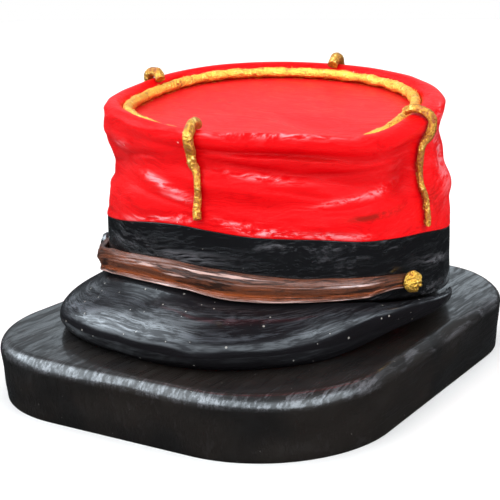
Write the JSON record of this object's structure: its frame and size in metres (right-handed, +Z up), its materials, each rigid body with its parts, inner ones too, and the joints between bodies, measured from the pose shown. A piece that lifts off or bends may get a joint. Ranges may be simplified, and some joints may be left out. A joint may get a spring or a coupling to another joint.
{
  "type": "kepi cap on a display plinth",
  "caption": "Red cloth kepi with a black band and leather peak, a brown chin strap, domed buttons and gold braid, resting on a plain black wooden plinth.",
  "frame": {"origin": "middle of the plinth's underside", "axes": "+Z up; -Y is the cap's front, where the peak points; +X is the wearer's left"},
  "size_m": [0.218, 0.255, 0.1561],
  "materials": {
    "plinth_wood": "satin black paint over straight grain",
    "band_cloth": "stiff black cloth with a satin sheen",
    "crown_cloth": "bright red, satin, with brush marks in the folds",
    "peak_leather": "glossy black with a worn edge",
    "strap_leather": "brown, streaked dark and orange",
    "button_gilt": "worn gilt, rough",
    "button_dark": "glossy black",
    "gold_braid": "gold metal thread, granular and worn"
  },
  "bodies": {
    "root": {"plinth": "plinth_wood", "band": "band_cloth", "crown_side": "crown_cloth", "crown_top": "crown_cloth", "peak": "peak_leather", "chin_strap": "strap_leather", "button_right": "button_gilt", "button_left": "button_dark", "braid_ring": "gold_braid", "braid_front": "gold_braid", "braid_right": "gold_braid", "braid_back": "gold_braid", "braid_left": "gold_braid"}
  },
  "joints": []
}
